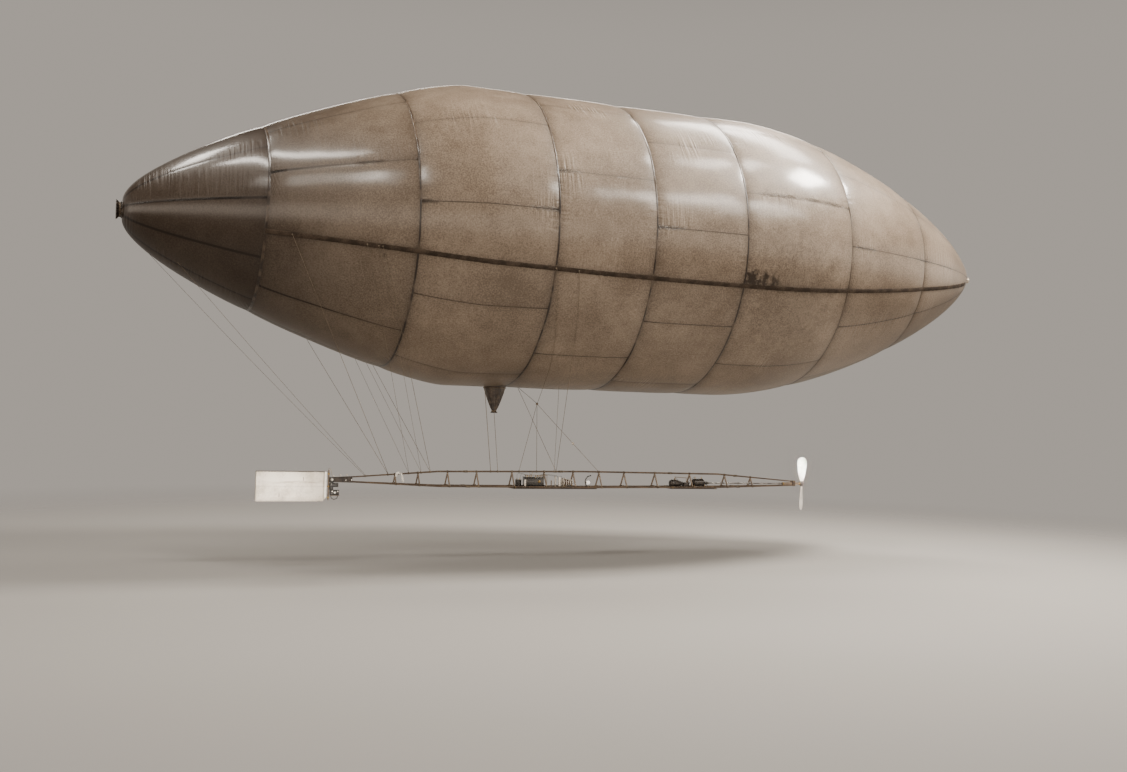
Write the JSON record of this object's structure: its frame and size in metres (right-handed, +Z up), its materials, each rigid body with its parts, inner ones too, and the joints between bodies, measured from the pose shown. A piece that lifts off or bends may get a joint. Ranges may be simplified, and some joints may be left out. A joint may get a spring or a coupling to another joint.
{
  "type": "small unmanned airship",
  "caption": "Spindle gasbag of ring sections over a hung triangular wood frame with a tractor propeller, shaft drive, receiver gear and a cloth rudder.",
  "frame": {"origin": "on the gasbag's axis midway between its tips, at the mount where the air holds the airship up", "axes": "+X towards the bow along the gasbag, +Y to port, +Z up"},
  "size_m": [7.2786, 2.248, 3.199],
  "materials": {
    "bag_cloth": "varnished",
    "tape": "rubbed",
    "cord": "dull",
    "panel_cloth": "dull",
    "wood": "varnished",
    "sheet": "satin",
    "iron": "dull",
    "lamp_glass": "opal",
    "brass": "polished"
  },
  "bodies": {
    "airship": {"bottom_chord_port": "wood", "bottom_chord_starboard": "wood", "bow_block": "wood", "bow_tie": "cord", "coil_stack": "brass", "cross_frame_1": "wood", "cross_frame_10": "wood", "cross_frame_11": "wood", "cross_frame_12": "wood", "cross_frame_13": "wood", "cross_frame_2": "wood", "cross_frame_3": "wood", "cross_frame_4": "wood", "cross_frame_5": "wood", "cross_frame_6": "wood", "cross_frame_7": "wood", "cross_frame_8": "wood", "cross_frame_9": "wood", "crow_foot_fall_1": "cord", "crow_foot_fall_2": "cord", "crow_foot_fall_3": "cord", "crow_foot_leg_port": "cord", "crow_foot_leg_starboard": "cord", "crow_foot_ring": "cord", "drive_motor": "iron", "filling_neck": "bag_cloth", "gasbag_bow_cap": "bag_cloth", "gasbag_section_1": "bag_cloth", "gasbag_section_2": "bag_cloth", "gasbag_section_3": "bag_cloth", "gasbag_section_4": "bag_cloth", "gasbag_section_5": "bag_cloth", "gasbag_section_6": "bag_cloth", "gasbag_stern_cap": "bag_cloth", "gear_box": "iron", "lamp_globe": "lamp_glass", "lamp_pipe": "iron", "load_band_port": "tape", "load_band_starboard": "tape", "magneto": "iron", "motor_board": "wood", "receiver_board": "wood", "receiver_box": "iron", "relay_drum": "iron", "rudder_post": "wood", "shaft_sleeve": "wood", "stay_aft_port": "cord", "stay_aft_starboard": "cord", "stay_fore_port": "cord", "stay_fore_starboard": "cord", "stay_main_port": "cord", "stay_main_starboard": "cord", "steering_hoop": "iron", "steering_motor": "iron", "stern_block": "iron", "stern_tie": "tape", "top_chord": "wood"},
    "propeller": {"propeller": "sheet", "drive_shaft": "wood"},
    "rudder": {"rudder": "panel_cloth"}
  },
  "joints": [
    {"name": "propeller_spin", "type": "hinge", "parent": "airship", "child": "propeller", "pos_m": [1.921, 0, -1.852], "axis": [1, 0, 0], "continuous": true},
    {"name": "rudder_turn", "type": "hinge", "parent": "airship", "child": "rudder", "pos_m": [-2.124, 0, -1.883], "axis": [0, 0, 1], "range_deg": [-35, 35]}
  ]
}
